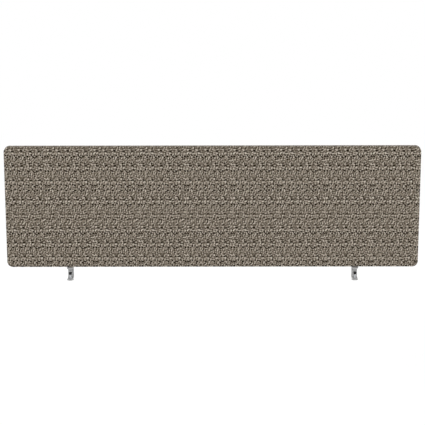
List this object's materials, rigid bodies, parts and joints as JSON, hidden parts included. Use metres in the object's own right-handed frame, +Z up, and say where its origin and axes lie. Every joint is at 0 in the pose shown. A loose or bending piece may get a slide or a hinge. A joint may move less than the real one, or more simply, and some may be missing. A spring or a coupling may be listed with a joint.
{
  "type": "desk privacy panel",
  "caption": "Long low fabric-covered screen with rounded corners that stands along a desk's rear edge on C-shaped screw clamps.",
  "frame": {"origin": "on the desktop's top surface, at its rear edge, half way between the clamps", "axes": "+X along the panel to the user's right, +Y away from the user, +Z up"},
  "size_m": [1.6, 0.048, 0.5325],
  "materials": {
    "tweed_fabric": "matte",
    "foam": "matte",
    "pine": "matte",
    "beech_dowel": "matte",
    "fibreboard": "matte",
    "black_strip": "matte",
    "brass_insert": "satin",
    "silver_bracket": "satin",
    "zinc_screw": "satin",
    "black_plastic": "matte"
  },
  "bodies": {
    "panel_and_brackets": {"frame_left_stile": "pine", "frame_right_stile": "pine", "frame_top_rail": "pine", "frame_bottom_rail": "pine", "frame_centre_stile": "pine", "frame_dowels": "beech_dowel", "left_infill_board": "fibreboard", "right_infill_board": "fibreboard", "front_foam": "foam", "back_foam": "foam", "front_fabric_cover": "tweed_fabric", "back_fabric_cover": "tweed_fabric", "bottom_closing_strip": "black_strip", "left_threaded_inserts": "brass_insert", "right_threaded_inserts": "brass_insert", "left_bracket": "silver_bracket", "right_bracket": "silver_bracket", "left_bracket_screws": "zinc_screw", "right_bracket_screws": "zinc_screw"},
    "left_foot": {"left_clamp_foot": "black_plastic"},
    "left_screw": {"left_clamp_screw": "zinc_screw"},
    "right_foot": {"right_clamp_foot": "black_plastic"},
    "right_screw": {"right_clamp_screw": "zinc_screw"}
  },
  "joints": [
    {"name": "left_foot_travel", "type": "slide", "parent": "panel_and_brackets", "child": "left_foot", "axis": [0, 0, 1], "range_m": [-0.017, 0.002]},
    {"name": "left_screw_turn", "type": "hinge", "parent": "left_foot", "child": "left_screw", "pos_m": [-0.555, -0.0315, 0], "axis": [0, 0, 1], "range_deg": [-6121, 721]},
    {"name": "right_foot_travel", "type": "slide", "parent": "panel_and_brackets", "child": "right_foot", "axis": [0, 0, 1], "range_m": [-0.017, 0.002]},
    {"name": "right_screw_turn", "type": "hinge", "parent": "right_foot", "child": "right_screw", "pos_m": [0.555, -0.0315, 0], "axis": [0, 0, 1], "range_deg": [-6121, 721]}
  ],
  "couplings": [
    {"joint": "left_screw_turn", "follows": "left_foot_travel", "rad_per_m": 6283.2},
    {"joint": "right_screw_turn", "follows": "right_foot_travel", "rad_per_m": 6283.2}
  ]
}
